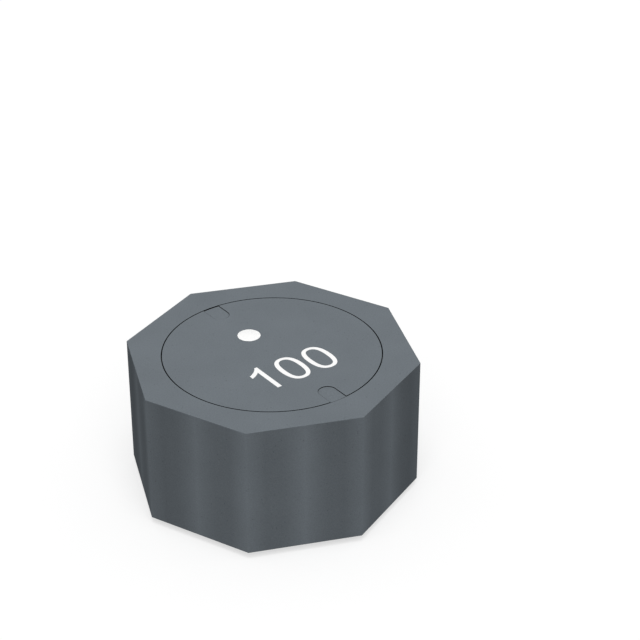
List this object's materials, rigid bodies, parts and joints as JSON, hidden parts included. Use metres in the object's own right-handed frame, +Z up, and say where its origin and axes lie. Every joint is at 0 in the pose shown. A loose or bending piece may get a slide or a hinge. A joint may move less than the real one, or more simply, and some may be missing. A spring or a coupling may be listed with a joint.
{
  "type": "shielded smd inductor",
  "caption": "Octagonal surface-mount power inductor: a wire-wound ferrite drum bonded inside a ferrite shield ring, with flat solder terminals under the drum.",
  "frame": {"origin": "centre of the underside, in the plane of the terminal faces that sits on the board", "axes": "+Z up from the board along the axis of the drum, +Y from the centre through the polarity dot to the start terminal, +X along the reading direction of the marking"},
  "size_m": [0.0086, 0.0086, 0.0043],
  "materials": {
    "ring_ferrite": "matte sintered ferrite, dark blue-grey",
    "core_ferrite": "matte ground ferrite, dark blue-grey",
    "enamelled_wire": "clear enamel over bright copper",
    "terminal_plating": "matte tin plating",
    "solder": "satin solder",
    "adhesive": "cured dark epoxy",
    "marking_ink": "flat white ink"
  },
  "bodies": {
    "root": {"shield_ring": "ring_ferrite", "drum_core": "core_ferrite", "winding": "enamelled_wire", "start_terminal": "terminal_plating", "finish_terminal": "terminal_plating", "start_solder": "solder", "finish_solder": "solder", "upper_adhesive": "adhesive", "lower_adhesive": "adhesive", "polarity_dot": "marking_ink"}
  },
  "joints": []
}
